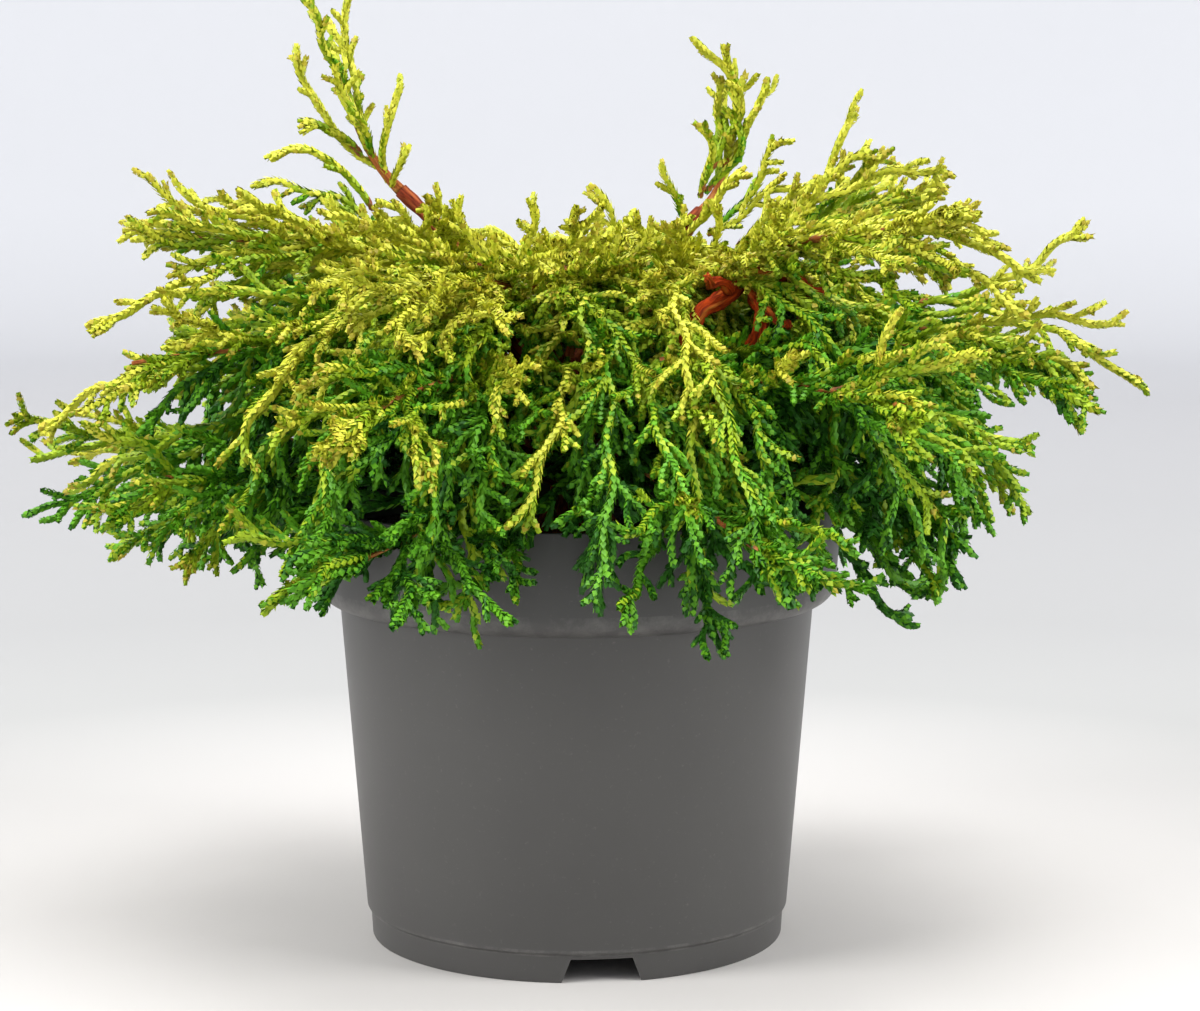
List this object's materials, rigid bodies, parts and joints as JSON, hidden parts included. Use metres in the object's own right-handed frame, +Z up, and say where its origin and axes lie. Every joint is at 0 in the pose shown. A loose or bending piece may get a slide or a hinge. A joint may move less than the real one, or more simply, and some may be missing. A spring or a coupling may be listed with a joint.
{
  "type": "potted dwarf hinoki cypress",
  "caption": "Low spreading dwarf conifer with drooping cord-like sprays and two tall shoots, in a round nursery pot with a wide collar.",
  "frame": {"origin": "middle of the pot's underside, on the surface that the plant stands on", "axes": "+Z up the trunk, +X to the right seen from the front, along the crown's widest spread, and -Y to the front"},
  "size_m": [0.4969, 0.4428, 0.4283],
  "materials": {
    "pot": "moulded, satin",
    "soil": "crumbly potting soil",
    "bark": "fibrous bark",
    "foliage": "waxy scale leaves"
  },
  "bodies": {
    "root": {"pot": "pot", "potting_soil": "soil", "trunk": "bark", "bough_skirt_1": "bark", "bough_skirt_2": "bark", "bough_skirt_3": "bark", "bough_skirt_4": "bark", "bough_skirt_5": "bark", "bough_skirt_6": "bark", "bough_skirt_7": "bark", "bough_skirt_8": "bark", "bough_skirt_9": "bark", "bough_shoulder_1": "bark", "bough_shoulder_2": "bark", "bough_shoulder_3": "bark", "bough_shoulder_4": "bark", "bough_shoulder_5": "bark", "bough_shoulder_6": "bark", "bough_shoulder_7": "bark", "bough_shoulder_8": "bark", "bough_brow_1": "bark", "bough_brow_2": "bark", "bough_brow_3": "bark", "bough_brow_4": "bark", "bough_brow_5": "bark", "bough_brow_6": "bark", "bough_leader_left": "bark", "bough_leader_right": "bark", "foliage_skirt_1": "foliage", "foliage_skirt_2": "foliage", "foliage_skirt_3": "foliage", "foliage_skirt_4": "foliage", "foliage_skirt_5": "foliage", "foliage_skirt_6": "foliage", "foliage_skirt_7": "foliage", "foliage_skirt_8": "foliage", "foliage_skirt_9": "foliage", "foliage_shoulder_1": "foliage", "foliage_shoulder_2": "foliage", "foliage_shoulder_3": "foliage", "foliage_shoulder_4": "foliage", "foliage_shoulder_5": "foliage", "foliage_shoulder_6": "foliage", "foliage_shoulder_7": "foliage", "foliage_shoulder_8": "foliage", "foliage_brow_1": "foliage", "foliage_brow_2": "foliage", "foliage_brow_3": "foliage", "foliage_brow_4": "foliage", "foliage_brow_5": "foliage", "foliage_brow_6": "foliage", "foliage_crest_1": "foliage", "foliage_crest_2": "foliage", "foliage_crest_3": "foliage", "foliage_leader_left": "foliage", "foliage_leader_right": "foliage"}
  },
  "joints": []
}
